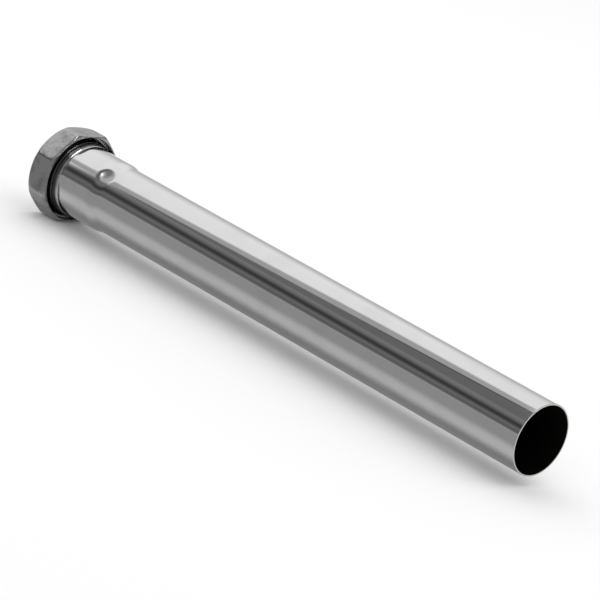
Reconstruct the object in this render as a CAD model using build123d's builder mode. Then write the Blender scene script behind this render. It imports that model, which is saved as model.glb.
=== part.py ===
from build123d import *
import os
from math import atan2, cos, radians, tan

# Slip joint drain extension tube with its octagon slip nut and slip washer.
# Millimetres. The origin is the centre of the socket's mouth, on the tube's axis.
# +X runs along the tube to its plain end, +Z is up, and the nut rests on a flat.

# Driving sizes of the drawn tube
pipe_diameter = 31.75  # outside of the plain end, the nominal 1 1/4 in size
wall = 0.75  # of the pipe, the socket and the bell behind its thread
tube_length = 297.8  # from the threaded rim to the plain end
rim_ease = 0.15  # broken edge round both cut ends

# Driving sizes of the socket that takes a mating tube
socket_clearance = 0.1  # radial gap round a mating tube
socket_depth = 18.8  # straight bore, from its mouth to the shoulder's rounding
shoulder_length = 4.8  # axial run of the taper from socket to pipe
shoulder_radius = 16.0  # rounding at both ends of that taper

# Driving sizes of the stop dimples pressed in at the shoulder
dimple_count = 3
dimple_depth = 1.1
dimple_radius = 7.0  # spherical nose of the punch
dimple_offset = 0.7  # from the shoulder's middle towards the plain end
dimple_angle = 46.0  # of the first dimple, from the top towards the -Y side
dimple_ease = 1.0  # rounding of each dimple's brim
bump_ease = 0.5  # rounding of each bump's foot in the bore

# Driving sizes of the belled and threaded end
flare_rise = 2.275  # from the socket's outside to the collar
flare_angle = 20.8  # of the flare's cone, in degrees from the axis
flare_radius = 3.0  # rounding at both ends of the flare
collar_length = 0.35  # plain land between that rounding and the thread
thread_depth = 0.6  # crest to root, the crests level with the collar
thread_length = 5.3

# Driving sizes of the slip nut
nut_sides = 8
nut_lip = 0.95  # thinnest wall, round the mouth at the flats
nut_length = 12.7
nut_flange = 1.8  # inward flange that presses the washer
nut_thread_clearance = 0.1  # between the roots of one thread and the crests of the other
nut_mouth_clearance = 0.7  # radial gap between the plain mouth and the collar
nut_mouth_length = 3.8
nut_hole_clearance = 0.35  # radial gap between the flange's hole and a mating tube
nut_back_rise = 2.0  # how far the turned chamfer lowers the corners at the back
nut_back_run = 2.9  # axial run of that chamfer
nut_front_edge = 0.4  # small chamfer along the front outline
nut_edge = 0.4  # small chamfer on the mouth and on the flange's hole

# Driving sizes of the slip washer
washer_head = 1.7  # flat ring between the flange and the rim
washer_nose = 2.4  # bevelled nose inside the bell
washer_bevel = 0.8  # how far the nose narrows towards its tip
washer_hole_clearance = 0.1  # radial gap round a mating tube
washer_rim_clearance = 0.3  # radial gap inside the bell and inside the nut
seat_gap = 0.1  # between washer and rim, and between washer and flange

# Radii
pipe_radius = pipe_diameter / 2
pipe_bore = pipe_radius - wall
socket_bore = pipe_radius + socket_clearance
socket_radius = socket_bore + wall
thread_radius = socket_radius + flare_rise
thread_root = thread_radius - thread_depth
bell_bore = thread_root - wall
nut_thread_root = thread_radius + nut_thread_clearance
nut_mouth_radius = thread_radius + nut_mouth_clearance
nut_flat_radius = nut_mouth_radius + nut_lip
nut_corner_radius = nut_flat_radius / cos(radians(180 / nut_sides))
nut_hole_radius = pipe_radius + nut_hole_clearance

# How far the roundings of the flare and of the shoulder reach along the tube
flare_turn = radians(flare_angle)
flare_reach = flare_radius * tan(flare_turn / 2)
shoulder_turn = atan2(socket_radius - pipe_radius, shoulder_length)
shoulder_reach = shoulder_radius * tan(shoulder_turn / 2)

# Stations along the tube
mouth_corner = -flare_reach
flare_start = mouth_corner + wall * tan(flare_turn / 2)
bell_floor = mouth_corner - (bell_bore - socket_bore) / tan(flare_turn)
collar_start = flare_start - flare_rise / tan(flare_turn)
thread_start = collar_start - flare_reach - collar_length
rim = thread_start - thread_length
plain_end = rim + tube_length
shoulder_start = socket_depth + shoulder_reach
shoulder_end = shoulder_start + shoulder_length
dimple_station = (shoulder_start + shoulder_end) / 2 + dimple_offset
washer_seat = rim - seat_gap
washer_back = washer_seat - washer_head
flange_face = washer_back - seat_gap
nut_back = flange_face - nut_flange
nut_front = nut_back + nut_length
mouth_floor = nut_front - nut_mouth_length


def round_corners(sketch, stations, radius):
    """Round each corner of a profile that lies at one of the given stations."""
    corners = [v for v in sketch.vertices() if any(abs(v.X - s) < 0.001 for s in stations)]
    fillet(corners, radius=radius)


# Outside of the tube, from the threaded rim to the plain end
with BuildPart() as outside:
    with BuildSketch(Plane.XZ) as outside_profile:
        with BuildLine():
            Polyline(
                (rim, 0),
                (rim, thread_root),
                (thread_start, thread_root),
                (thread_start, thread_radius),
                (collar_start, thread_radius),
                (flare_start, socket_radius),
                (shoulder_start, socket_radius),
                (shoulder_end, pipe_radius),
                (plain_end, pipe_radius),
                (plain_end, 0),
                close=True,
            )
        make_face()
        round_corners(outside_profile, [collar_start, flare_start], flare_radius)
        round_corners(outside_profile, [shoulder_start, shoulder_end], shoulder_radius)
    revolve(axis=Axis.X)

# The bore, one wall inside the outside all the way
with BuildPart() as bore:
    with BuildSketch(Plane.XZ) as bore_profile:
        with BuildLine():
            Polyline(
                (rim, 0),
                (rim, bell_bore),
                (bell_floor, bell_bore),
                (mouth_corner, socket_bore),
                (shoulder_start, socket_bore),
                (shoulder_end, pipe_bore),
                (plain_end, pipe_bore),
                (plain_end, 0),
                close=True,
            )
        make_face()
        round_corners(bore_profile, [bell_floor, mouth_corner], flare_radius)
        round_corners(bore_profile, [shoulder_start, shoulder_end], shoulder_radius)
    revolve(axis=Axis.X)

# Centres of the punch's nose, for the dimples of the outside and the bumps of the bore
dimple_centre = (socket_radius + pipe_radius) / 2 - dimple_depth + dimple_radius
dimple_start = 90 + dimple_angle

# Tube: the outside less the bore, with the dimples pressed through both
with BuildPart() as dented_bore:
    add(bore.part)
    with Locations(Plane.YZ.offset(dimple_station)):
        with PolarLocations(dimple_centre, dimple_count, start_angle=dimple_start):
            Sphere(dimple_radius + wall, mode=Mode.SUBTRACT)
    fillet(dented_bore.faces().filter_by(GeomType.SPHERE).edges(), radius=bump_ease)

with BuildPart() as extension_tube:
    add(outside.part)
    with Locations(Plane.YZ.offset(dimple_station)):
        with PolarLocations(dimple_centre, dimple_count, start_angle=dimple_start):
            Sphere(dimple_radius, mode=Mode.SUBTRACT)
    fillet(extension_tube.faces().filter_by(GeomType.SPHERE).edges(), radius=dimple_ease)
    add(dented_bore.part, mode=Mode.SUBTRACT)
    chamfer(extension_tube.faces().sort_by(Axis.X)[-1].edges(), length=rim_ease)
    chamfer(extension_tube.faces().sort_by(Axis.X)[0].edges(), length=rim_ease)

# Slip nut: an octagon, its corners turned down at the back, with a plain mouth and a flange
with BuildPart() as slip_nut:
    with BuildSketch(Plane.YZ.offset(nut_back)):
        RegularPolygon(nut_flat_radius, nut_sides, major_radius=False, rotation=180 / nut_sides)
    extrude(amount=nut_length)
    chamfer(slip_nut.faces().sort_by(Axis.X)[-1].edges(), length=nut_front_edge)
    with BuildSketch(Plane.XZ):
        with BuildLine():
            Polyline(
                (nut_back, 0),
                (nut_back, nut_corner_radius - nut_back_rise),
                (nut_back + nut_back_run, nut_corner_radius),
                (nut_front, nut_corner_radius),
                (nut_front, 0),
                close=True,
            )
        make_face()
    revolve(axis=Axis.X, mode=Mode.INTERSECT)
    with BuildSketch(Plane.XZ):
        with BuildLine():
            Polyline(
                (nut_back, 0),
                (nut_back, nut_hole_radius + nut_edge),
                (nut_back + nut_edge, nut_hole_radius),
                (flange_face, nut_hole_radius),
                (flange_face, nut_thread_root),
                (mouth_floor, nut_thread_root),
                (mouth_floor, nut_mouth_radius),
                (nut_front - nut_edge, nut_mouth_radius),
                (nut_front, nut_mouth_radius + nut_edge),
                (nut_front, 0),
                close=True,
            )
        make_face()
    revolve(axis=Axis.X, mode=Mode.SUBTRACT)

# Slip washer: a flat head on the rim and a bevelled nose inside the bell
washer_bore = pipe_radius + washer_hole_clearance
washer_head_radius = thread_root + nut_thread_clearance - washer_rim_clearance
washer_nose_radius = bell_bore - washer_rim_clearance
with BuildPart() as slip_washer:
    with BuildSketch(Plane.XZ):
        with BuildLine():
            Polyline(
                (washer_back, washer_bore),
                (washer_back, washer_head_radius),
                (washer_seat, washer_head_radius),
                (washer_seat, washer_nose_radius),
                (washer_seat + washer_nose, washer_nose_radius - washer_bevel),
                (washer_seat + washer_nose, washer_bore),
                close=True,
            )
        make_face()
    revolve(axis=Axis.X)

# Written out, one file to a piece
extension_tube.part.label = "extension_tube"
slip_nut.part.label = "slip_nut"
slip_washer.part.label = "slip_washer"

os.makedirs("parts", exist_ok=True)
export_step(extension_tube.part, "parts/extension_tube.step")
export_step(slip_nut.part, "parts/slip_nut.step")
export_step(slip_washer.part, "parts/slip_washer.step")
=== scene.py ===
# %% [markdown]
# # A slip joint drain extension tube in Blender
#
# This is a length of drawn brass waste pipe, chrome plated. One end is cut plain. The other is swaged
# to a socket, belled out and threaded, and carries an octagon slip nut with a rubber washer inside it.
# The CAD model holds the sizes and the motion. This script dresses it: every visible surface is a
# dense smooth mesh with its own procedural finish, because chrome shows each facet of a coarse one.
#
# The frame comes first. Everything after it is in metres, in the same frame as the CAD model:
# +X runs along the tube to its plain end, +Z is up, and the nut rests on a flat.

# %% Load the frame
import math

import bmesh
import bpy
from mathutils import Matrix, Vector


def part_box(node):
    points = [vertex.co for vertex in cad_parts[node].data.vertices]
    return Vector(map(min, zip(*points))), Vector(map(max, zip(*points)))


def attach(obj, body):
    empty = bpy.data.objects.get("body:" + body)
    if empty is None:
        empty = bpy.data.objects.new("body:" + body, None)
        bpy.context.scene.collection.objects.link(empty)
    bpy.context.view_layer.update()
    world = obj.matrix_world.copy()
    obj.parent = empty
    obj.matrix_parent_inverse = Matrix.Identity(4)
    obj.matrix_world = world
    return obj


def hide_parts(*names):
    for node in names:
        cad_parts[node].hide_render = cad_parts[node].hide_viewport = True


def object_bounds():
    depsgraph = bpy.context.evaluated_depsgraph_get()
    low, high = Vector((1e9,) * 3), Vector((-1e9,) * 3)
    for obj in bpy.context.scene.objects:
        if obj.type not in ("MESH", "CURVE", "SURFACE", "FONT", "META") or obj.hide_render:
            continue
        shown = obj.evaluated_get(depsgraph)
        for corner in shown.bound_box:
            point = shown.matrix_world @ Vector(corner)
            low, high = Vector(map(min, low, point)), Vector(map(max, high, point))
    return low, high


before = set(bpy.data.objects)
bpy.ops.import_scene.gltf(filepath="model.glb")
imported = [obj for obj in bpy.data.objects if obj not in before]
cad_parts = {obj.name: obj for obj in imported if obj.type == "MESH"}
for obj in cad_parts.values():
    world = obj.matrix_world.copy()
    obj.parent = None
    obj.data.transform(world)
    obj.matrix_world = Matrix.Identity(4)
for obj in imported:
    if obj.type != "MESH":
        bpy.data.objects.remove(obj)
cad_low, cad_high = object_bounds()
tube_low, tube_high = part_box("extension_tube")
nut_low, nut_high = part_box("slip_nut")
washer_low, washer_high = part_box("slip_washer")
print("CAD box, mm:", [round(v * 1000, 1) for v in (*cad_low, *cad_high)])

# %% [markdown]
# ## Sizes
#
# What the frame can tell is read from it: where the tube ends, how wide the bell, the nut and the
# washer are. The rest are the driving sizes of the CAD source, written once here in millimetres and
# turned into metres. A drawn tube has one wall thickness all the way, so the bore follows the outside.
# Only the dimples and the nut's rounded ends are shaped more softly here than in the CAD model.

# %% Sizes of the tube, the nut and the washer
MM = 0.001

plain_end = tube_high.x
rim = tube_low.x
thread_radius = tube_high.z
nut_back, nut_front = nut_low.x, nut_high.x
nut_flat_radius = nut_high.z
washer_back, washer_tip = washer_low.x, washer_high.x
floor_height = cad_low.z

wall = 0.75 * MM
pipe_radius = 15.875 * MM
socket_clearance = 0.1 * MM
socket_radius = pipe_radius + socket_clearance + wall
thread_pitch = 1.27 * MM
thread_depth = 0.6 * MM
thread_root = thread_radius - thread_depth
thread_length = 5.3 * MM
collar_length = 0.35 * MM
flare_angle = math.radians(20.8)
flare_ease = 3.0 * MM
socket_depth = 18.8 * MM
shoulder_length = 4.8 * MM
shoulder_ease = 16.0 * MM
rim_ease = 0.15 * MM

flare_reach = flare_ease * math.tan(flare_angle / 2)
thread_start = rim + thread_length
collar_start = thread_start + collar_length + flare_reach
flare_start = collar_start + (thread_radius - socket_radius) / math.tan(flare_angle)
shoulder_turn = math.atan2(socket_radius - pipe_radius, shoulder_length)
shoulder_start = socket_depth + shoulder_ease * math.tan(shoulder_turn / 2)
shoulder_end = shoulder_start + shoulder_length
print("flare from", round(flare_start / MM, 2), "shoulder from", round(shoulder_start / MM, 2))

# %% Sizes of the stop dimples
dimple_count = 3
dimple_depth = 0.8 * MM
dimple_radius = 8.5 * MM
dimple_offset = 0.7 * MM
dimple_station = (shoulder_start + shoulder_end) / 2 + dimple_offset
dimple_angle = math.radians(46)
dimple_centre = (socket_radius + pipe_radius) / 2 - dimple_depth + dimple_radius
dimple_brim = 1.4 * MM
dimple_reach = 7.0 * MM
print("dimples", round(dimple_station / MM, 2), "mm from the mouth")

# %% [markdown]
# ## The camera
#
# The photograph was taken with a long lens from in front of the plain end, a little above it, and
# tilted to lay the tube across the picture. A camera is easiest to place by the point it looks at:
# three angles and a distance from there. The lens is the one that gives the tube its taper in the
# picture: the near end is wider than the far end by an eighth.

# %% Place the camera
camera_aim = Vector((142.2, 0.0, 1.35)) * MM
camera_distance = 1452.7 * MM
camera_azimuth = 41.05
camera_elevation = 15.19
camera_roll = 16.7
camera_lens = 205.7


def add_object(name, data):
    """Puts a mesh, a lamp or a camera into the scene."""
    made = bpy.data.objects.new(name, data)
    bpy.context.scene.collection.objects.link(made)
    return made


def turn_by(degrees, axis):
    """A rotation about one axis. A camera that is not turned looks straight down."""
    return Matrix.Rotation(math.radians(degrees), 3, axis)


camera_data = bpy.data.cameras.new("photo_camera")
camera_data.lens = camera_lens
camera_data.sensor_width = 36.0
camera_data.clip_end = 60.0
camera = add_object("photo_camera", camera_data)
camera_turn = turn_by(camera_azimuth, "Z") @ turn_by(90 - camera_elevation, "X") @ turn_by(camera_roll, "Z")
camera.location = camera_aim + camera_turn @ Vector((0, 0, camera_distance))
camera.rotation_euler = camera_turn.to_euler()
bpy.context.scene.camera = camera
print("camera at, mm:", [round(v / MM) for v in camera.location])

# %% [markdown]
# ## Writing node trees in a script
#
# A node tree is easier to read when each formula stands on one line. This small helper adds a node,
# sets its properties, and plugs in values or other nodes' outputs, so a tree reads from top to bottom
# like the sentence that describes it.

# %% A helper for node trees


class Tree:
    """Adds nodes to one tree, geometry or shader, and wires them as it goes."""

    def __init__(self, tree):
        self.tree = tree

    def add(self, kind, **properties):
        """A bare node. Nodes are laid out in rows of twelve."""
        row, column = divmod(len(self.tree.nodes), 12)
        made = self.tree.nodes.new(kind)
        made.location = (180 * column, -220 * row)
        for name, value in properties.items():
            setattr(made, name, value)
        return made

    def plug(self, value, socket):
        """Links a socket to an input, or sets the input's own value. None leaves it as it is."""
        if isinstance(value, bpy.types.NodeSocket):
            self.tree.links.new(value, socket)
        elif value is not None:
            socket.default_value = value

    def named(self, kind, inputs, output=0, **properties):
        """One node whose inputs are given by name. Returns one of its outputs."""
        made = self.add(kind, **properties)
        for name, value in inputs.items():
            self.plug(value, made.inputs[name])
        return made.outputs[output]

    def node(self, kind, *values, output=0, **properties):
        """One node whose inputs are given in their order."""
        return self.named(kind, dict(enumerate(values)), output, **properties)

    def math(self, operation, *values):
        """A Math node. The next four are short names for the commonest ones."""
        return self.node("ShaderNodeMath", *values, operation=operation)

    def plus(self, first, second):
        return self.math("ADD", first, second)

    def minus(self, first, second):
        return self.math("SUBTRACT", first, second)

    def times(self, first, second):
        return self.math("MULTIPLY", first, second)

    def over(self, first, second):
        return self.math("DIVIDE", first, second)

    def length(self, first, second):
        """Length of a step with two parts at right angles."""
        return self.math("SQRT", self.plus(self.times(first, first), self.times(second, second)))

    def split(self, vector):
        """The X, Y and Z of a vector."""
        made = self.add("ShaderNodeSeparateXYZ")
        self.plug(vector, made.inputs[0])
        return made.outputs


# %% How a node group opens and closes


def open_group(name, kind, inputs, outputs):
    """An empty node group with named sockets. Returns its writer and a dict of the inputs' sockets."""
    group = bpy.data.node_groups.new(name, kind)
    for label, socket_kind, value in inputs:
        socket = group.interface.new_socket(label, in_out="INPUT", socket_type="NodeSocket" + socket_kind)
        if value is not None:
            socket.default_value = value
    for label, socket_kind in outputs:
        group.interface.new_socket(label, in_out="OUTPUT", socket_type="NodeSocket" + socket_kind)
    tree = Tree(group)
    return tree, {socket.name: socket for socket in tree.add("NodeGroupInput").outputs if socket.name}


def close_group(tree, **results):
    """Ends a group: each result is a socket, under the name of its output."""
    exit_node = tree.add("NodeGroupOutput")
    for label, socket in results.items():
        tree.plug(socket, exit_node.inputs[label])
    return tree.tree


def geometry_tree(name, inputs):
    """An empty Geometry Nodes tree that takes a geometry and named inputs, and gives a geometry."""
    return open_group(
        name, "GeometryNodeTree", [("Geometry", "Geometry", None), *inputs], [("Geometry", "Geometry")])


# %% [markdown]
# ## A lathe in Geometry Nodes
#
# Pipe, bell, washer and nut are all turned or drawn round one axis, so one tree serves them all. It
# takes the outline of the section as a closed loop of edges. Each corner of the loop carries how far it
# is rounded, how finely the line after it is divided, and whether it belongs to the inside.
# `Fillet Curve` rounds the corners, `Subdivide Curve` divides the lines, and then a grid with one row
# for each point of the outline is rolled up round the X axis by a formula. A grid gives even quads,
# which the dimples and the octagon need later. A Screw modifier would turn the same outline, but it
# can't round its corners by their own sizes.

# %% Places round the X axis


def round_axis(tree, along, radius, angle):
    """The place at a distance from the X axis, at an angle from the top towards -Y."""
    return tree.node(
        "ShaderNodeCombineXYZ", along, tree.times(radius, tree.times(tree.math("SINE", angle), -1)),
        tree.times(radius, tree.math("COSINE", angle)))


def angle_round_axis(tree, sideways, upwards):
    """The angle of a place round the X axis, from the top towards -Y."""
    return tree.math("ARCTAN2", tree.times(sideways, -1), upwards)


def scale_radius(tree, along, sideways, upwards, share):
    """A place whose distance from the X axis is multiplied by a share."""
    return tree.node(
        "ShaderNodeCombineXYZ", along, tree.times(sideways, share), tree.times(upwards, share))


# %% The lathe tree
corner_labels = ("ease", "spacing", "inside")
merge_distance = 0.001 * MM


def lathe_tree():
    tree, given = geometry_tree("Lathe", [
        ("Round Steps", "Int", 256),
        ("Ease Steps", "Int", 6),
        ("Skin", "Material", None),
        ("Lining", "Material", None),
    ])
    ease, spacing, inside = [
        tree.node("GeometryNodeInputNamedAttribute", label, data_type="FLOAT") for label in corner_labels]
    position = tree.node("GeometryNodeInputPosition")
    index = tree.node("GeometryNodeInputIndex")

    outline = tree.node("GeometryNodeMeshToCurve", given["Geometry"])
    rounded = tree.named("GeometryNodeFilletCurve", {
        "Curve": outline, "Count": given["Ease Steps"], "Radius": ease, "Limit Radius": True}, mode="POLY")
    corners = tree.node("GeometryNodeAttributeDomainSize", rounded, component="CURVE")
    following = tree.math("MODULO", tree.plus(index, 1), corners)
    next_place = tree.named(
        "GeometryNodeFieldAtIndex", {"Index": following, "Value": position}, data_type="FLOAT_VECTOR")
    next_spacing = tree.named(
        "GeometryNodeFieldAtIndex", {"Index": following, "Value": spacing}, data_type="FLOAT")
    length = tree.node("ShaderNodeVectorMath", position, next_place, operation="DISTANCE", output="Value")
    cuts = tree.math("FLOOR", tree.over(length, tree.math("MAXIMUM", spacing, next_spacing)))
    divided = tree.named("GeometryNodeSubdivideCurve", {"Curve": rounded, "Cuts": cuts})

    points = tree.node("GeometryNodeAttributeDomainSize", divided, component="CURVE")
    columns = tree.plus(given["Round Steps"], 1)
    rows = tree.plus(points, 1)
    grid = tree.named("GeometryNodeMeshGrid", {"Vertices X": rows, "Vertices Y": columns})
    row = tree.math("MODULO", tree.math("FLOOR", tree.over(tree.plus(index, 0.5), columns)), points)
    column = tree.math("FLOORED_MODULO", index, columns)
    on_outline = tree.named(
        "GeometryNodeSampleIndex", {"Geometry": divided, "Value": position, "Index": row},
        data_type="FLOAT_VECTOR")
    is_inside = tree.named(
        "GeometryNodeSampleIndex", {"Geometry": divided, "Value": inside, "Index": row}, data_type="FLOAT")
    along, radius, _ = tree.split(on_outline)
    angle = tree.times(tree.over(column, given["Round Steps"]), math.tau)
    marked = tree.named(
        "GeometryNodeStoreNamedAttribute", {"Geometry": grid, "Name": "inside", "Value": is_inside},
        data_type="FLOAT", domain="POINT")
    rolled = tree.named("GeometryNodeSetPosition", {
        "Geometry": marked, "Position": round_axis(tree, along, radius, angle)})
    closed = tree.named("GeometryNodeMergeByDistance", {"Geometry": rolled, "Distance": merge_distance})
    outwards = tree.named("GeometryNodeFlipFaces", {"Mesh": closed})
    smooth = tree.named("GeometryNodeSetShadeSmooth", {"Geometry": outwards, "Shade Smooth": True})
    real = tree.node("GeometryNodeRealizeInstances", smooth)
    skin = tree.named("GeometryNodeSetMaterial", {"Geometry": real, "Material": given["Skin"]})
    lined = tree.named("GeometryNodeSetMaterial", {
        "Geometry": skin, "Selection": tree.math("GREATER_THAN", inside, 0.5), "Material": given["Lining"]})
    return close_group(tree, Geometry=lined)


lathe = lathe_tree()
print("lathe tree:", len(lathe.nodes), "nodes")

# %% Outlines, and how a tree's result becomes a plain mesh


def outline_object(name, corners):
    """A closed loop of edges in the X, radius plane. A corner is (x, radius, ease, spacing, inside)."""
    mesh = bpy.data.meshes.new(name)
    count = len(corners)
    mesh.from_pydata(
        [(x, radius, 0.0) for x, radius, *_ in corners],
        [(place, (place + 1) % count) for place in range(count)],
        [],
    )
    for place, label in enumerate(corner_labels, start=2):
        attribute = mesh.attributes.new(label, "FLOAT", "POINT")
        attribute.data.foreach_set("value", [corner[place] for corner in corners])
    return add_object(name, mesh)


def add_tree(piece, tree, **settings):
    """Adds a Geometry Nodes modifier and sets its inputs by the sockets' identifiers."""
    modifier = piece.modifiers.new(tree.name, "NODES")
    modifier.node_group = tree
    known = {
        item.name: item.identifier
        for item in tree.interface.items_tree
        if item.item_type == "SOCKET" and item.in_out == "INPUT"
    }
    for label, value in settings.items():
        modifier[known[label.replace("_", " ")]] = value


def settle(piece):
    """Turns a piece's modifiers into one plain mesh whose faces point outwards."""
    weights = piece.modifiers.new("Even shading", "WEIGHTED_NORMAL")
    weights.mode = "FACE_AREA_WITH_ANGLE"
    weights.keep_sharp = True
    graph = bpy.context.evaluated_depsgraph_get()
    mesh = bpy.data.meshes.new_from_object(piece.evaluated_get(graph), depsgraph=graph)
    piece.modifiers.clear()
    piece.data = mesh
    mesh.name = piece.name
    triangles = sum(len(face.vertices) - 2 for face in mesh.polygons)
    print(piece.name, "vertices", len(mesh.vertices), "triangles", triangles, "volume mm3", volume_of(mesh))


def volume_of(mesh):
    """Enclosed volume in cubic millimetres. It is positive when the faces point outwards."""
    checked = bmesh.new()
    checked.from_mesh(mesh)
    loose = sum(1 for edge in checked.edges if len(edge.link_faces) != 2)
    volume = checked.calc_volume(signed=True) / MM**3
    checked.free()
    return f"{volume:.0f}, open edges {loose}"


# %% [markdown]
# ## Finishes
#
# The tube and the nut carry the same plating, but they don't look the same: the tube is drawn and
# buffed to a mirror, and the nut is a casting whose faces are a little wavy under the chrome. Inside, the
# tube is bare metal and dull, coloured almost black as painted shade. What several finishes share is a
# shader node group, built once and placed in each with its own values. The groups work in millimetres on
# the object's own coordinates, so a pattern stays with its piece from every side. Each puts out masks and
# heights alone, and the material decides what they do to colour, roughness and bump.

# %% Helpers for shader groups


def shader_group(name, inputs, outputs):
    """An empty shader node group. Its outputs are numbers."""
    return open_group(name, "ShaderNodeTree", inputs, [(label, "Float") for label in outputs])


def place_group(tree, group, settings):
    """Places a group in a material. Returns its outputs by name."""
    made = tree.add("ShaderNodeGroup", node_tree=group)
    for label, value in settings.items():
        tree.plug(value, made.inputs[label])
    return {socket.name: socket for socket in made.outputs}


def between(tree, value, low, high, rising=True):
    """A smooth step from 0 to 1 (or back) while a value passes from low to high."""
    return tree.named("ShaderNodeMapRange", {
        "Value": value, "From Min": low, "From Max": high,
        "To Min": 0.0 if rising else 1.0, "To Max": 1.0 if rising else 0.0},
        interpolation_type="SMOOTHSTEP")


def noise(tree, place, scale, detail=2.0, roughness=0.5):
    """Noise over a place in millimetres: scale is in features for each millimetre."""
    return tree.named("ShaderNodeTexNoise", {
        "Vector": place, "Scale": scale, "Detail": detail, "Roughness": roughness})


# %% Shared effects
ring_stretch = (1.0, 0.012, 0.012)
scratch_stretch = (0.10, 3.0, 3.0)
scratch_turn = (0.3, 0.5, 0.9)


def waviness_group():
    """Slow swells left by casting or drawing, seen only as a wobble of the reflections."""
    tree, given = shader_group(
        "Waviness",
        [("Place", "Vector", None), ("Length", "Float", 5.0), ("Height", "Float", 0.01)],
        ["Height"])
    swell = noise(tree, given["Place"], tree.over(1.0, given["Length"]), 1.5)
    return close_group(tree, Height=tree.times(swell, given["Height"]))


def turning_group():
    """Rings left by a lathe tool or a buffing wheel: they change quickly along X and slowly round it."""
    tree, given = shader_group(
        "Turning rings",
        [("Place", "Vector", None), ("Fineness", "Float", 6.0), ("Depth", "Float", 0.001)],
        ["Height", "Tone"])
    stretched = tree.node("ShaderNodeVectorMath", given["Place"], ring_stretch, operation="MULTIPLY")
    rings = noise(tree, stretched, given["Fineness"], 3.0, 0.6)
    return close_group(tree, Height=tree.times(rings, given["Depth"]), Tone=rings)


def handling_group():
    """Faint smudges and a haze of hairline scratches, as on any chrome that has been picked up."""
    tree, given = shader_group(
        "Handling", [("Place", "Vector", None), ("Patch", "Float", 14.0), ("Scratch", "Float", 2.0)],
        ["Smudge", "Scratch"])
    patches = noise(tree, given["Place"], tree.over(1.0, given["Patch"]), 4.0, 0.62)
    drawn_out = tree.named("ShaderNodeMapping", {
        "Vector": given["Place"], "Rotation": scratch_turn, "Scale": scratch_stretch})
    hairs = noise(tree, drawn_out, given["Scratch"], 2.0, 0.7)
    return close_group(
        tree, Smudge=between(tree, patches, 0.45, 0.68), Scratch=between(tree, hairs, 0.66, 0.74))


waviness = waviness_group()
turning = turning_group()
handling = handling_group()
print("shared effects:", waviness.name, "/", turning.name, "/", handling.name)

# %% How a material starts and ends


def new_finish(name):
    """A material with its writer, its shader and the place in millimetres on the piece."""
    material = bpy.data.materials.new(name)
    material.use_nodes = True
    shader = material.node_tree.nodes["Principled BSDF"]
    tree = Tree(material.node_tree)
    place = tree.named(
        "ShaderNodeVectorMath",
        {0: tree.node("ShaderNodeTexCoord", output="Object"), "Scale": 1 / MM}, operation="SCALE")
    return material, tree, shader, place


def blend(tree, share, first, second):
    """Colour from first to second. A Mix node keeps colours at inputs 6 and 7 and at output 2."""
    made = tree.add("ShaderNodeMix", data_type="RGBA")
    tree.plug(share, made.inputs["Factor"])
    for place, colour in ((6, first), (7, second)):
        tree.plug(colour if isinstance(colour, bpy.types.NodeSocket) else (*colour, 1), made.inputs[place])
    return made.outputs[2]


def finish_surface(tree, shader, colour, metallic, roughness, height):
    """Plugs a finish into its shader. Its height, in millimetres, becomes a bump."""
    tree.plug(colour, shader.inputs["Base Color"])
    tree.plug(metallic, shader.inputs["Metallic"])
    tree.plug(roughness, shader.inputs["Roughness"])
    bump = tree.named("ShaderNodeBump", {"Height": height, "Distance": MM, "Strength": 1.0})
    tree.plug(bump, shader.inputs["Normal"])


# %% [markdown]
# ### Chrome on the tube
#
# Three zones along X. The pipe and the socket are buffed to a mirror. The collar and the flare lie
# in the nut's shelter and were only turned, so they are rougher, and the thread tool left its shallow
# trace on them, at the pitch of the thread. Their colour is set almost black, as painted shade under
# the nut's mouth. The cut end is a narrow bright ring of bare metal, because it was sawn after plating.
# Where the punches pressed the dimples, the skin is scuffed dull, and its colour is darker there, as
# painted shade in the dimples.

# %% Chrome on the tube
mirror_chrome = (0.63, 0.63, 0.64)
smudged_chrome = (0.60, 0.60, 0.605)
# painted shade: the next two colours are almost black, for the collar and flare under the nut's mouth
shaded_turned_dark = (0.045, 0.045, 0.047)
shaded_turned_pale = (0.13, 0.13, 0.133)
# painted shade: the darker colour in and around the dimples
dimple_shade_chrome = (0.42, 0.42, 0.425)
sawn_metal = (0.56, 0.555, 0.54)
mirror_roughness = 0.035
smudge_haze, scratch_haze, turned_haze, scuff_haze, sawn_haze = 0.03, 0.05, 0.10, 0.30, 0.22
shaded_turned_until = (flare_start / MM - 1.6, flare_start / MM + 0.3)
sawn_from = (plain_end / MM - 0.12, plain_end / MM - 0.04)
scuff_and_shade_radii = (2.6, 4.6)
ring_tones = (0.35, 0.62)
trace_height = 0.055


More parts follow.
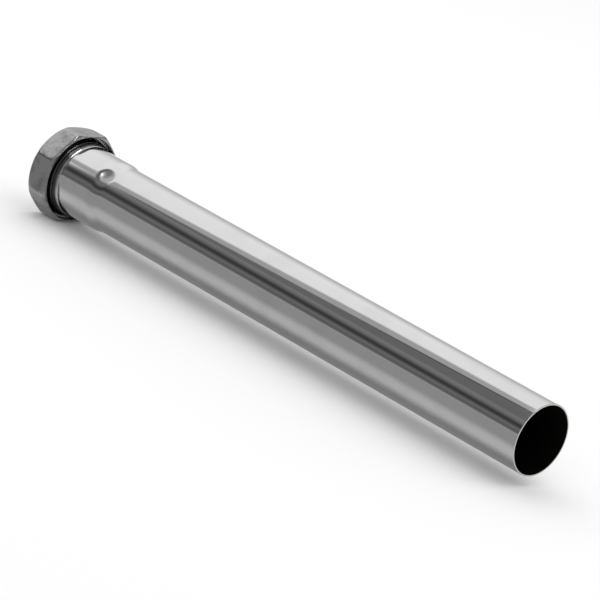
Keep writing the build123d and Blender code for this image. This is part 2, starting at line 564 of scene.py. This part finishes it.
def tube_finish():
    material, tree, shader, place = new_finish("tube_chrome")
    along, sideways, upwards = tree.split(place)
    turned = between(tree, along, *shaded_turned_until, rising=False)
    sawn = between(tree, along, *sawn_from)
    swells = place_group(tree, waviness, {"Place": place, "Length": 16.0, "Height": 0.010})
    buffed = place_group(tree, turning, {"Place": place, "Fineness": 9.0, "Depth": 0.00025})
    rings = place_group(tree, turning, {"Place": place, "Fineness": 2.6, "Depth": 0.06})
    marks = place_group(tree, handling, {"Place": place, "Patch": 16.0, "Scratch": 1.6})

    angle = angle_round_axis(tree, sideways, upwards)
    half_share = math.pi / dimple_count
    beside = tree.times(
        tree.math("WRAP", tree.minus(angle, dimple_angle), half_share, -half_share), pipe_radius / MM)
    ahead = tree.minus(along, dimple_station / MM)
    # a mask round each dimple: real scuffing for the roughness, painted shade for the darker colour
    scuffed_and_shaded = between(tree, tree.length(beside, ahead), *scuff_and_shade_radii, rising=False)

    plated = blend(tree, marks["Smudge"], mirror_chrome, smudged_chrome)
    # painted shade: the collar and flare take the almost black worked colour, mottled by random ring tones
    worked_and_shaded = blend(tree, between(tree, rings["Tone"], *ring_tones), shaded_turned_dark, shaded_turned_pale)
    whole = blend(tree, scuffed_and_shaded, blend(tree, turned, plated, worked_and_shaded), dimple_shade_chrome)
    colour = blend(tree, sawn, whole, sawn_metal)

    handled = tree.plus(
        tree.times(marks["Smudge"], smudge_haze), tree.times(marks["Scratch"], scratch_haze))
    dulled = tree.plus(tree.plus(mirror_roughness, handled), tree.times(turned, turned_haze))
    rough = tree.plus(tree.plus(dulled, tree.times(scuffed_and_shaded, scuff_haze)), tree.times(sawn, sawn_haze))

    windings = tree.plus(tree.over(along, thread_pitch / MM), tree.over(angle, math.tau))
    trace = tree.times(tree.math("SINE", tree.times(windings, math.tau)), trace_height)
    tooled = tree.times(tree.plus(rings["Height"], trace), turned)
    height = tree.plus(tree.plus(swells["Height"], buffed["Height"]), tooled)
    finish_surface(tree, shader, colour, 1.0, rough, height)
    return material


tube_chrome = tube_finish()
print("finish:", tube_chrome.name, len(tube_chrome.node_tree.nodes), "nodes")

# %% [markdown]
# ### Chrome on the nut
#
# Plating follows the casting under it, so the flats swell a little, with small pits. Its colours are
# set well below the tube's chrome, as painted shade on the facets. The turned rounds at both ends keep
# the rings of the lathe.

# %% Chrome on the nut
# painted shade: the nut's three colours sit well below the tube's chrome; the smudges and pits are real
shaded_cast_chrome = (0.38, 0.38, 0.385)
smudged_shaded_cast = (0.27, 0.27, 0.275)
pitted_shaded_cast = (0.22, 0.22, 0.225)
cast_roughness = 0.23
handled_haze, machined_haze = 0.06, 0.04
front_turned = (nut_front / MM - 2.6, nut_front / MM - 1.4)
back_turned = (nut_back / MM + 1.0, nut_back / MM + 3.0)
pit_levels = (0.30, 0.38)
pit_depth = 0.01


def nut_finish():
    material, tree, shader, place = new_finish("nut_chrome")
    along = tree.split(place)["X"]
    turned = tree.math(
        "MAXIMUM", between(tree, along, *front_turned), between(tree, along, *back_turned, rising=False))
    swells = place_group(tree, waviness, {"Place": place, "Length": 3.0, "Height": 0.13})
    ripples = place_group(tree, waviness, {"Place": place, "Length": 1.1, "Height": 0.018})
    rings = place_group(tree, turning, {"Place": place, "Fineness": 3.5, "Depth": 0.012})
    marks = place_group(tree, handling, {"Place": place, "Patch": 6.0, "Scratch": 2.2})
    pits = between(tree, noise(tree, place, 2.3, 3.0, 0.6), *pit_levels, rising=False)

    plated = blend(tree, marks["Smudge"], shaded_cast_chrome, smudged_shaded_cast)
    colour = blend(tree, tree.times(pits, 0.6), plated, pitted_shaded_cast)
    handled = tree.plus(
        tree.times(marks["Smudge"], handled_haze), tree.times(marks["Scratch"], handled_haze))
    rough = tree.plus(tree.plus(cast_roughness, handled), tree.times(turned, machined_haze))
    cast = tree.plus(swells["Height"], ripples["Height"])
    machined = tree.plus(cast, tree.times(rings["Height"], turned))
    finish_surface(tree, shader, colour, 1.0, rough, tree.minus(machined, tree.times(pits, pit_depth)))
    return material


nut_chrome = nut_finish()
print("finish:", nut_chrome.name, len(nut_chrome.node_tree.nodes), "nodes")

# %% [markdown]
# ### Bare metal in the bore, and rubber
#
# The plating bath hardly reaches into a long tube, so the bore stays bare brass, drawn lengthwise,
# dull and patchily tarnished. Its colours are set almost black, as painted shade inside the tube. The
# washer is moulded black rubber: satin, finely grained, with a little pale dust of talc on it.

# %% Bare metal in the bore
# painted shade: the bore's colours are almost black, for the inside of the tube
shaded_brass_dark = (0.045, 0.040, 0.032)
shaded_brass_pale = (0.085, 0.074, 0.056)
tarnished_shaded_brass = (0.030, 0.028, 0.026)
brass_roughness, tarnish_haze = 0.42, 0.18
drawn_stretch = (0.02, 1.0, 1.0)
drawn_height = 0.01


def bore_finish():
    material, tree, shader, place = new_finish("bare_brass")
    stretched = tree.node("ShaderNodeVectorMath", place, drawn_stretch, operation="MULTIPLY")
    drawn = noise(tree, stretched, 3.0, 3.0, 0.6)
    tarnish = between(tree, noise(tree, place, 0.12, 4.0, 0.6), 0.35, 0.65)
    colour = blend(tree, tarnish, blend(tree, drawn, shaded_brass_dark, shaded_brass_pale), tarnished_shaded_brass)
    rough = tree.plus(brass_roughness, tree.times(tarnish, tarnish_haze))
    finish_surface(tree, shader, colour, 1.0, rough, tree.times(drawn, drawn_height))
    return material


bare_brass = bore_finish()
print("finish:", bare_brass.name)

# %% Rubber
black_rubber = (0.024, 0.024, 0.025)
dusty_rubber = (0.075, 0.074, 0.072)
rubber_roughness, dust_haze = 0.52, 0.25
grain_height = 0.02


def rubber_finish():
    material, tree, shader, place = new_finish("washer_rubber")
    grain = noise(tree, place, 6.0, 4.0, 0.65)
    dust = between(tree, noise(tree, place, 0.5, 5.0, 0.7), 0.55, 0.75)
    colour = blend(tree, tree.times(dust, 0.5), black_rubber, dusty_rubber)
    rough = tree.plus(rubber_roughness, tree.times(dust, dust_haze))
    finish_surface(tree, shader, colour, 0.0, rough, tree.times(grain, grain_height))
    return material


washer_rubber = rubber_finish()
print("finish:", washer_rubber.name)

# %% [markdown]
# ## The tube
#
# The real tube is drawn from one brass pipe: the end is swaged out to a socket, belled once more for
# the thread, and three dimples are pressed in at the shoulder, where they stop the mating tube.
# The outline below walks from the threaded rim to the plain end on the outside and back on the
# inside, one wall thickness in. The lathe turns it. Spacing is coarse on the straight pipe and fine
# at the shoulder, where the punch has to find enough points to move.

# %% Outline of the tube's wall
coarse = 9.0 * MM
middling = 1.2 * MM
fine = 0.3 * MM
sharp_ease = 0.08 * MM

bell_bore = thread_root - wall
pipe_bore = pipe_radius - wall
socket_bore = socket_radius - wall
mouth_corner = -flare_reach
bell_floor = mouth_corner - (bell_bore - socket_bore) / math.tan(flare_angle)

tube_outside = [
    (rim, thread_root, rim_ease, middling),
    (thread_start, thread_root, sharp_ease, middling),
    (thread_start, thread_radius, sharp_ease, middling),
    (collar_start, thread_radius, flare_ease, middling),
    (flare_start, socket_radius, flare_ease, middling),
    (dimple_station - dimple_reach, socket_radius, 0.0, fine),
    (shoulder_start, socket_radius, shoulder_ease, fine),
    (shoulder_end, pipe_radius, shoulder_ease, fine),
    (dimple_station + dimple_reach, pipe_radius, 0.0, fine),
    (plain_end, pipe_radius, rim_ease, coarse),
]
tube_inside = [
    (plain_end, pipe_bore, rim_ease, coarse),
    (dimple_station + dimple_reach, pipe_bore, 0.0, fine),
    (shoulder_end, pipe_bore, shoulder_ease, fine),
    (shoulder_start, socket_bore, shoulder_ease, fine),
    (dimple_station - dimple_reach, socket_bore, 0.0, fine),
    (mouth_corner, socket_bore, flare_ease, middling),
    (bell_floor, bell_bore, flare_ease, middling),
    (rim, bell_bore, rim_ease, middling),
]
tube_outline = [(*corner, 0.0) for corner in tube_outside] + [(*corner, 1.0) for corner in tube_inside]
tube_wall = outline_object("tube_wall", tube_outline)
print("tube outline:", len(tube_outline), "corners")

# %% [markdown]
# A dimple could be cut with a boolean sphere, but a punch doesn't cut: it pushes the wall in and leaves a
# soft brim. So this tree moves the points that lie under each punch down to the punch's nose, and a
# smooth minimum between wall and nose rounds the brim.

# %% Press the stop dimples


def dimple_tree():
    tree, given = geometry_tree("Stop dimples", [
        ("Count", "Int", 3),
        ("Station", "Float", 0.0),
        ("First Angle", "Float", 0.0),
        ("Punch Radius", "Float", 0.007),
        ("Punch Centre", "Float", 0.02),
        ("Wall", "Float", 0.001),
        ("Brim", "Float", 0.001),
    ])
    along, sideways, upwards = tree.split(tree.node("GeometryNodeInputPosition"))
    inside = tree.node("GeometryNodeInputNamedAttribute", "inside", data_type="FLOAT")
    radius = tree.length(sideways, upwards)
    angle = angle_round_axis(tree, sideways, upwards)
    half_share = tree.over(math.pi, given["Count"])
    off_dimple = tree.math(
        "WRAP", tree.minus(angle, given["First Angle"]), half_share, tree.times(half_share, -1))
    nose = tree.plus(given["Punch Radius"], tree.times(inside, given["Wall"]))
    beside = tree.times(given["Punch Centre"], tree.math("SINE", off_dimple))
    ahead = tree.minus(along, given["Station"])
    squares = tree.plus(tree.times(ahead, ahead), tree.times(beside, beside))
    left_over = tree.minus(tree.times(nose, nose), squares)
    sphere = tree.minus(
        tree.times(given["Punch Centre"], tree.math("COSINE", off_dimple)),
        tree.math("SQRT", tree.math("MAXIMUM", left_over, 0)))
    pressed = tree.math("SMOOTH_MIN", radius, sphere, given["Brim"])
    moved = scale_radius(tree, along, sideways, upwards, tree.over(pressed, radius))
    under_punch = tree.times(
        tree.math("GREATER_THAN", left_over, 0),
        tree.math("LESS_THAN", tree.math("ABSOLUTE", off_dimple), math.pi / 4))
    placed = tree.named("GeometryNodeSetPosition", {
        "Geometry": given["Geometry"], "Selection": under_punch, "Position": moved})
    return close_group(tree, Geometry=placed)


dimples = dimple_tree()
add_tree(tube_wall, lathe, Round_Steps=288, Ease_Steps=8, Skin=tube_chrome, Lining=bare_brass)
add_tree(
    tube_wall, dimples, Count=dimple_count, Station=dimple_station, First_Angle=dimple_angle,
    Punch_Radius=dimple_radius, Punch_Centre=dimple_centre, Wall=wall, Brim=dimple_brim)
settle(tube_wall)
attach(tube_wall, "tube")
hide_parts("extension_tube")

# %% [markdown]
# ## The slip nut
#
# The real nut is cast as an octagon, then turned: the turning rounds its corners off at the back and
# bores the mouth, the thread and the flange's hole. The model is made the same way. The lathe turns a
# round blank, and a second tree clips the blank to eight sides. Distance to the axis is all it changes,
# by one formula: the flat's radius divided by a cosine, blended at the corners so that they stay soft
# as on a plated casting. Towards the front edge the flats fall a little, and so does the blank.

# %% Sizes of the nut
nut_sides = 8
nut_lip = 0.95 * MM
nut_flange = 1.8 * MM
nut_mouth_length = 3.8 * MM
nut_back_rise = 2.9 * MM
nut_back_run = 5.0 * MM
nut_front_rise = 1.2 * MM
nut_front_run = 1.8 * MM
nut_front_drop = 0.25 * MM
nut_edge = 0.4 * MM
nut_corner_ease = 1.2 * MM
nut_hole_clearance = 0.35 * MM
nut_thread_clearance = 0.1 * MM

nut_hole_radius = pipe_radius + nut_hole_clearance
nut_thread_root = thread_radius + nut_thread_clearance
nut_corner_radius = nut_flat_radius / math.cos(math.pi / nut_sides)
nut_mouth_radius = nut_flat_radius - nut_lip
flange_face = nut_back + nut_flange
mouth_floor = nut_front - nut_mouth_length

round_steps = 12
shares = [part / round_steps for part in range(round_steps + 1)]
nut_back_round = [
    (nut_back + nut_back_run * (1 - math.cos(share * math.pi / 2)),
     nut_corner_radius - nut_back_rise * (1 - math.sin(share * math.pi / 2))) for share in shares]
nut_front_round = [
    (nut_front - nut_front_run * (1 - share), nut_corner_radius - nut_front_rise * share**2)
    for share in shares]
nut_inside = [
    (nut_front, nut_mouth_radius + nut_edge),
    (nut_front - nut_edge, nut_mouth_radius),
    (mouth_floor, nut_mouth_radius),
    (mouth_floor, nut_thread_root),
    (flange_face, nut_thread_root),
    (flange_face, nut_hole_radius),
    (nut_back + nut_edge, nut_hole_radius),
    (nut_back, nut_hole_radius + nut_edge),
]
nut_outline = [(x, radius, 0.0, middling, 0.0) for x, radius in nut_back_round + nut_front_round]
nut_outline += [(x, radius, sharp_ease, middling, 1.0) for x, radius in nut_inside]
nut_body = outline_object("slip_nut_body", nut_outline)
print("nut outline:", len(nut_outline), "corners")

# %% The tree that clips a blank to flat sides


def sides_tree():
    tree, given = geometry_tree("Flat sides", [
        ("Sides", "Int", 8),
        ("Flat Radius", "Float", 0.02),
        ("Corner Ease", "Float", 0.0005),
        ("Front", "Float", 0.0),
        ("Front Run", "Float", 0.002),
        ("Front Drop", "Float", 0.0005),
    ])
    along, sideways, upwards = tree.split(tree.node("GeometryNodeInputPosition"))
    radius = tree.length(sideways, upwards)
    angle = angle_round_axis(tree, sideways, upwards)
    half_side = tree.over(math.pi, given["Sides"])
    off_flat = tree.math("ABSOLUTE", tree.math("WRAP", angle, half_side, tree.times(half_side, -1)))
    off_next = tree.minus(tree.times(half_side, 2), off_flat)
    this_flat = tree.over(given["Flat Radius"], tree.math("COSINE", off_flat))
    next_flat = tree.over(given["Flat Radius"], tree.math("COSINE", off_next))
    sides = tree.math("SMOOTH_MIN", this_flat, next_flat, given["Corner Ease"])
    from_edge = tree.minus(along, tree.minus(given["Front"], given["Front Run"]))
    into_edge = tree.math(
        "MINIMUM", tree.math("MAXIMUM", tree.over(from_edge, given["Front Run"]), 0), 1)
    fallen = tree.times(tree.times(into_edge, into_edge), given["Front Drop"])
    clipped = tree.math(
        "SMOOTH_MIN", radius, tree.minus(sides, fallen), tree.times(given["Corner Ease"], 0.5))
    moved = scale_radius(tree, along, sideways, upwards, tree.over(clipped, radius))
    placed = tree.named("GeometryNodeSetPosition", {"Geometry": given["Geometry"], "Position": moved})
    return close_group(tree, Geometry=placed)


sides = sides_tree()
add_tree(nut_body, lathe, Round_Steps=384, Ease_Steps=4, Skin=nut_chrome, Lining=nut_chrome)
add_tree(
    nut_body, sides, Sides=nut_sides, Flat_Radius=nut_flat_radius, Corner_Ease=nut_corner_ease,
    Front=nut_front, Front_Run=nut_front_run, Front_Drop=nut_front_drop)
settle(nut_body)
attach(nut_body, "nut")
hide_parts("slip_nut")

# %% [markdown]
# ## The slip washer
#
# A moulded rubber ring with a flat head and a bevelled nose, turned by the same lathe.

# %% Turn the washer
washer_nose = 2.4 * MM
washer_bevel = 0.8 * MM
washer_ease = 0.25 * MM
washer_hole_clearance = 0.1 * MM
washer_rim_clearance = 0.3 * MM

washer_bore = pipe_radius + washer_hole_clearance
washer_head_radius = washer_high.z
washer_nose_radius = bell_bore - washer_rim_clearance
washer_seat = washer_tip - washer_nose
washer_corners = [
    (washer_back, washer_head_radius),
    (washer_seat, washer_head_radius),
    (washer_seat, washer_nose_radius),
    (washer_tip, washer_nose_radius - washer_bevel),
    (washer_tip, washer_bore),
    (washer_back, washer_bore),
]
washer_outline = [(x, radius, washer_ease, middling, 0.0) for x, radius in washer_corners]
washer_ring = outline_object("slip_washer_ring", washer_outline)
add_tree(washer_ring, lathe, Round_Steps=160, Ease_Steps=4, Skin=washer_rubber, Lining=washer_rubber)
settle(washer_ring)
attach(washer_ring, "washer")
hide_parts("slip_washer")

# %% [markdown]
# ## The threads
#
# The tube's thread and the nut's thread are ridges that follow a helix, so one tree makes both: a long
# narrow grid is wound round the axis, one pitch for each turn. The height is positive for the tube's
# ridge and negative for the nut's, which points inwards. Both run out to nothing at their ends, as a
# cut thread does. The two ridges are half a pitch apart, so each lies in the other's groove, and since
# the nut advances one pitch a turn, they stay clear of each other at every pose.

# %% The thread tree
thread_root_width = 0.9 * MM
thread_crest_width = 0.16 * MM
thread_sink = 0.05 * MM
thread_margin = 0.5 * MM
thread_steps = 120
thread_run_out = 0.4
section = 5


def thread_tree():
    """A ridge with four corners: foot, crest, crest, foot. The section's fifth point closes it."""
    tree, given = geometry_tree("Thread ridge", [
        ("Root Radius", "Float", 0.018),
        ("Height", "Float", 0.0006),
        ("Sink", "Float", 0.00005),
        ("Start", "Float", 0.0),
        ("Start Angle", "Float", 0.0),
        ("Pitch", "Float", 0.001),
        ("Turns", "Float", 3.0),
        ("Steps", "Int", 96),
        ("Root Width", "Float", 0.001),
        ("Crest Width", "Float", 0.0002),
        ("Run Out", "Float", 0.5),
        ("Material", "Material", None),
    ])
    index = tree.node("GeometryNodeInputIndex")
    rows = tree.plus(tree.math("FLOOR", tree.times(given["Turns"], given["Steps"])), 1)
    grid = tree.named("GeometryNodeMeshGrid", {"Vertices X": rows, "Vertices Y": section})
    row = tree.math("FLOOR", tree.over(tree.plus(index, 0.5), section))
    corner = tree.math("MODULO", tree.math("FLOORED_MODULO", index, section), section - 1)
    turned = tree.over(row, given["Steps"])
    left = tree.minus(tree.over(tree.minus(rows, 1), given["Steps"]), turned)
    fade = tree.math("MINIMUM", tree.over(tree.math("MINIMUM", turned, left), given["Run Out"]), 1)
    on_crest = tree.math("LESS_THAN", tree.math("ABSOLUTE", tree.minus(corner, 1.5)), 1)
    to_right = tree.minus(tree.times(tree.math("GREATER_THAN", corner, 1.5), 2), 1)
    width = tree.plus(
        given["Root Width"], tree.times(on_crest, tree.minus(given["Crest Width"], given["Root Width"])))
    aside = tree.times(tree.times(tree.times(width, 0.5), to_right), fade)
    lifted = tree.times(on_crest, fade)
    height = tree.minus(tree.times(lifted, tree.plus(given["Height"], given["Sink"])), given["Sink"])
    radius = tree.plus(given["Root Radius"], height)
    angle = tree.plus(tree.times(turned, math.tau), given["Start Angle"])
    along = tree.plus(given["Start"], tree.plus(tree.times(turned, given["Pitch"]), aside))
    wound = tree.named("GeometryNodeSetPosition", {
        "Geometry": grid, "Position": round_axis(tree, along, radius, angle)})
    closed = tree.named("GeometryNodeMergeByDistance", {"Geometry": wound, "Distance": merge_distance})
    outwards = tree.named("GeometryNodeFlipFaces", {
        "Mesh": closed, "Selection": tree.math("LESS_THAN", given["Height"], 0)})
    smooth = tree.named("GeometryNodeSetShadeSmooth", {"Geometry": outwards, "Shade Smooth": True})
    real = tree.node("GeometryNodeRealizeInstances", smooth)
    return close_group(tree, Geometry=tree.named(
        "GeometryNodeSetMaterial", {"Geometry": real, "Material": given["Material"]}))


thread = thread_tree()
print("thread tree:", len(thread.nodes), "nodes")

# %% Cut both threads


def cut_thread(name, root_radius, height, sink, start, end, phase, material):
    """One ridge between two stations. Its angle follows its place, ahead by the phase, in turns."""
    ridge = add_object(name, bpy.data.meshes.new(name))
    add_tree(
        ridge, thread, Root_Radius=root_radius, Height=height, Sink=sink, Start=start,
        Start_Angle=((start - rim) / thread_pitch + phase) * math.tau, Pitch=thread_pitch,
        Turns=(end - start) / thread_pitch, Steps=thread_steps, Root_Width=thread_root_width,
        Crest_Width=thread_crest_width, Run_Out=thread_run_out, Material=material)
    settle(ridge)
    return ridge


tube_thread = cut_thread(
    "tube_thread", thread_root, thread_depth, thread_sink, rim + thread_margin,
    thread_start - thread_margin, 0.0, tube_chrome)
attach(tube_thread, "tube")

nut_thread = cut_thread(
    "nut_thread", nut_thread_root, -thread_depth, -thread_sink, flange_face + thread_margin,
    mouth_floor - thread_margin, 0.5, nut_chrome)
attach(nut_thread, "nut")

# %% [markdown]
# ## The studio
#
# Chrome has hardly any colour of its own: what it shows is the room. The photograph's pipe has a broad
# bright band on top, a dark band along the side that faces the camera, and a middling grey below, so the
# room had a wide soft light overhead, darkness behind the camera, and a pale table. The floor and the
# lamp below are for the light. The dome and the cards are for the reflections alone: only glossy
# rays meet them, so they neither stand in a picture nor darken the floor.

# %% Lay the floor
floor_reach = 12.0
floor_tone = 0.92
floor_roughness = 0.9


def stage_object(name, mesh, material):
    """Adds a piece of the studio, which is no part of the object."""
    mesh.materials.append(material)
    made = add_object(name, mesh)
    return made


floor_material = bpy.data.materials.new("pale_floor")
floor_material.use_nodes = True
floor_shader = floor_material.node_tree.nodes["Principled BSDF"]
floor_shader.inputs["Base Color"].default_value = (floor_tone, floor_tone, floor_tone, 1)
floor_shader.inputs["Roughness"].default_value = floor_roughness
floor_mesh = bpy.data.meshes.new("floor")
floor_mesh.from_pydata(
    [(x * floor_reach, y * floor_reach, 0) for x, y in ((-1, -1), (1, -1), (1, 1), (-1, 1))],
    [], [(0, 1, 2, 3)])
floor = stage_object("floor", floor_mesh, floor_material)
floor.location.z = floor_height
print("floor at", round(floor_height / MM, 2), "mm")

# %% World and the overhead lamp
white = (1, 1, 1, 1)
world_light = 0.95
lamp_place = (0.1, 0.35, 1.1)
lamp_tilt = -14
lamp_size = 1.6
lamp_radiance = 0.42

world = bpy.data.worlds.new("studio")
bpy.context.scene.world = world
world.use_nodes = True
world.node_tree.nodes.clear()
sky = Tree(world.node_tree)
# camera, glossy and transmission rays meet white paper, and all others the soft light
rays = sky.add("ShaderNodeLightPath").outputs
seen = sky.math("MAXIMUM", sky.math("MAXIMUM", rays["Is Camera Ray"], rays["Is Glossy Ray"]),
                rays["Is Transmission Ray"])
soft_light = sky.named("ShaderNodeBackground", {"Color": white, "Strength": world_light})
white_paper = sky.named("ShaderNodeBackground", {"Color": white, "Strength": 1.0})
either = sky.node("ShaderNodeMixShader", seen, soft_light, white_paper)
sky.plug(either, sky.add("ShaderNodeOutputWorld").inputs["Surface"])

lamp_data = bpy.data.lights.new("overhead_lamp", "AREA")
lamp_data.shape = "SQUARE"
lamp_data.size = lamp_size
lamp_data.energy = lamp_radiance * math.pi * lamp_size**2
overhead_lamp = add_object("overhead_lamp", lamp_data)
overhead_lamp.location = lamp_place
overhead_lamp.rotation_euler.x = math.radians(lamp_tilt)
overhead_lamp.visible_glossy = False

bpy.context.scene.view_settings.view_transform = "Standard"
print("lamp of", round(lamp_data.energy, 2), "W")

# %% What only reflections meet


def only_reflected(made):
    """Lets glossy rays alone meet this piece of the studio."""
    for ray in ("camera", "diffuse", "shadow", "transmission", "volume_scatter"):
        setattr(made, "visible_" + ray, False)


def empty_material(name):
    """A material without nodes, and its writer."""
    material = bpy.data.materials.new(name)
    material.use_nodes = True
    material.node_tree.nodes.clear()
    return material, Tree(material.node_tree)


def show(tree, shader):
    """Makes a shader the surface of a material."""
    tree.plug(shader, tree.add("ShaderNodeOutputMaterial").inputs["Surface"])


# %% [markdown]
# The dome holds the tones of the room. Two ramps give its radiance by elevation, one for the side of
# the camera and one for the far side. The straight pipe mirrors only what lies beyond the nut, so there
# the tones are the photograph's. Elsewhere, where only curved parts look, the dome is one dark grey.

# %% The dome that the chrome reflects
dome_radius = 6.0
unlit_tone = 0.34
unlit_from, unlit_to = -0.36, -0.14
side_blend = 0.12
brightest_tone = 1.25
front_tones = [
    (-90, 0.42), (0, 0.40), (3, 0.19), (6, 0.13), (9, 0.17), (12, 0.20), (15, 0.15), (18, 0.07),
    (21, 0.05), (24, 0.08), (28, 0.18), (33, 0.25), (37, 0.25), (43, 0.20), (60, 0.20), (90, 0.3),
]
back_tones = [
    (-90, 0.8), (0, 0.76), (4, 0.62), (8, 0.57), (15, 0.64), (22, 0.83), (30, 0.97), (40, 1.08),
    (60, 1.12), (90, 1.1),
]


def ramp(tree, factor, tones):
    """A colour ramp over the elevation: tones are pairs of degrees and radiance. Returns radiance."""
    node = tree.add("ShaderNodeValToRGB")
    tree.plug(factor, node.inputs["Fac"])
    stops = node.color_ramp.elements
    while len(stops) > 1:
        stops.remove(stops[-1])
    for place, (elevation, radiance) in enumerate(tones):
        position = (math.sin(math.radians(elevation)) + 1) / 2
        stop = stops[0] if place == 0 else stops.new(position)
        stop.position = position
        level = radiance / brightest_tone
        stop.color = (level, level, level, 1)
    return tree.times(node.outputs["Color"], brightest_tone)


def dome_material():
    material, tree = empty_material("reflected_room")
    place = tree.node("ShaderNodeTexCoord", output="Object")
    x, y, z = tree.split(tree.node("ShaderNodeVectorMath", place, operation="NORMALIZE"))
    height = tree.math("MULTIPLY_ADD", z, 0.5, 0.5)
    to_back = between(tree, y, -side_blend, side_blend)
    radiance = tree.plus(
        tree.times(ramp(tree, height, back_tones), to_back),
        tree.times(ramp(tree, height, front_tones), tree.minus(1, to_back)))
    unlit = between(tree, x, unlit_from, unlit_to)
    radiance = tree.plus(
        tree.times(radiance, tree.minus(1, unlit)), tree.times(unlit, unlit_tone))
    show(tree, tree.named("ShaderNodeEmission", {"Color": white, "Strength": radiance}))
    return material


dome_shell = bmesh.new()
bmesh.ops.create_uvsphere(dome_shell, u_segments=64, v_segments=32, radius=dome_radius)
dome_mesh = bpy.data.meshes.new("dome")
dome_shell.to_mesh(dome_mesh)
dome_shell.free()
only_reflected(stage_object("dome", dome_mesh, dome_material()))
print("dome:", len(dome_mesh.polygons), "faces")

# %% Cards with soft edges
card_height = 0.5
card_steps = 12
paper_step = 0.4 * MM


def card_material(name, radiance, soft):
    """Glows, and fades to nothing over a share of its width from each of its four edges."""
    material, tree = empty_material(name)
    span = tree.add("ShaderNodeAttribute", attribute_name="span").outputs["Vector"]
    across, down, _ = tree.split(span)
    inside = tree.times(
        *[tree.times(between(tree, way, 0.0, first), between(tree, way, 1 - last, 1.0, rising=False))
          for way, first, last in ((across, *soft[:2]), (down, *soft[2:]))])
    glow = tree.named("ShaderNodeEmission", {"Color": white, "Strength": radiance})
    show(tree, tree.node("ShaderNodeMixShader", inside, tree.node("ShaderNodeBsdfTransparent"), glow))
    return material


def card(name, corners, radiance, soft, height):
    """A card between four corners. Its span attribute runs from 0 to 1 along both of its ways."""
    first, second, third, fourth = corners
    places, spans, faces = [], [], []
    for down in range(card_steps + 1):
        for across in range(card_steps + 1):
            u, v = across / card_steps, down / card_steps
            places.append([
                (first[k] * (1 - u) + second[k] * u) * (1 - v) + (fourth[k] * (1 - u) + third[k] * u) * v
                for k in (0, 1)] + [height])
            spans.extend((u, v, 0.0))
            if across < card_steps and down < card_steps:
                here = down * (card_steps + 1) + across
                faces.append((here, here + 1, here + card_steps + 2, here + card_steps + 1))
    mesh = bpy.data.meshes.new(name)
    mesh.from_pydata(places, [], faces)
    mesh.attributes.new("span", "FLOAT_VECTOR", "POINT").data.foreach_set("vector", spans)
    only_reflected(stage_object(name, mesh, card_material(name, radiance, soft)))


# %% [markdown]
# Each card below is named for what it does: the softbox is the bright band, the scrim greys the band's
# lower border, and the flag with its edge darkens the side that faces the camera. The strip lamp is short
# and bright, and hangs over the nut for the glints round its mouth. A card hides what hangs above it, so
# each has a height of its own. The last two lie just above the floor, in place of its bright paper: a
# grey table in front, and under the pipe a darker strip, the pipe's shadow painted on a sheet for the
# pipe's underside to mirror.

# %% Set up the cards
card("softbox", [(-0.03, 0.08), (-1.16, -1.05), (-1.60, -0.21), (-0.47, 0.92)],
     1.12, (0.04, 0.30, 0.09, 0.55), card_height)
card("scrim", [(-0.60, -0.455), (0.25, 0.04), (0.199, 0.219), (-0.658, -0.296)],
     0.50, (0.05, 0.05, 0.32, 0.36), card_height - 0.01)
card("flag", [(-0.56, -0.40), (0.0, -0.585), (0.0, -0.064), (-0.56, -0.39)],
     0.185, (0.10, 0.10, 0.35, 0.06), card_height - 0.02)
card("flag_edge", [(-0.27, -0.25), (0.0, -0.095), (0.0, -0.062), (-0.27, -0.222)],
     0.07, (0.5, 0.05, 0.3, 0.3), card_height - 0.025)
card("strip_lamp", [(-0.035, -0.36), (0.05, -0.36), (0.05, 0.03), (-0.035, 0.03)],
     9.0, (0.25, 0.25, 0.25, 0.10), card_height - 0.03)
card("grey_table", [(-2.7, -0.006), (2.3, -0.006), (2.3, -3.0), (-2.7, -3.0)],
     0.38, (0.05, 0.05, 0.0155, 0.03), floor_height + paper_step)
# painted shadow: a dark sheet under the pipe, so that its underside mirrors the pipe's own shadow
card("shadow_strip_under_pipe", [(-0.5, -0.0215), (0.5, -0.0215), (0.5, 0.004), (-0.5, 0.004)],
     0.27, (0.05, 0.05, 0.5, 0.2), floor_height + 2 * paper_step)
print("cards over the object at", card_height, "m")
